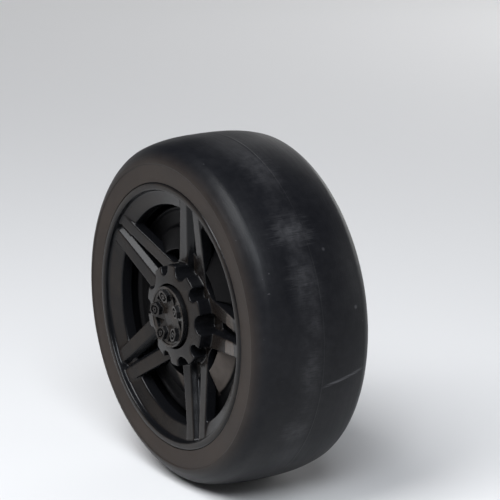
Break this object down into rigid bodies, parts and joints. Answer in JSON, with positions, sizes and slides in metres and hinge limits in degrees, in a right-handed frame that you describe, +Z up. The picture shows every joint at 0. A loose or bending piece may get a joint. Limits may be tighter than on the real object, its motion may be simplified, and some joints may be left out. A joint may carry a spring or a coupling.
{
  "type": "ride-on kart front wheel with steering knuckle",
  "caption": "Spoked plastic wheel with a smooth foam tyre, turning freely on the stub axle of its steering knuckle.",
  "frame": {"origin": "middle of the kingpin bore, at the height of the wheel's axle", "axes": "+X forward on the kart, +Y inboard along the wheel's axle, +Z up along the kingpin"},
  "size_m": [0.26, 0.1547, 0.26],
  "materials": {
    "foam_tyre": "satin",
    "rim_plastic": "satin",
    "cap_plastic": "gloss",
    "bush_plastic": "matte",
    "zinc_steel": "satin",
    "painted_steel": "satin"
  },
  "bodies": {
    "knuckle": {"kingpin_tube": "painted_steel", "steering_arm": "painted_steel", "stub_axle": "zinc_steel", "inner_spacer": "zinc_steel", "axle_washer": "zinc_steel", "axle_nut": "zinc_steel"},
    "wheel": {"tyre": "foam_tyre", "rim_face": "rim_plastic", "rim_back": "rim_plastic", "centre_cap": "cap_plastic", "outer_bush": "bush_plastic", "inner_bush": "bush_plastic"}
  },
  "joints": [
    {"name": "wheel_spin", "type": "hinge", "parent": "knuckle", "child": "wheel", "pos_m": [0, -0.08, 0], "axis": [0, 1, 0], "continuous": true}
  ]
}
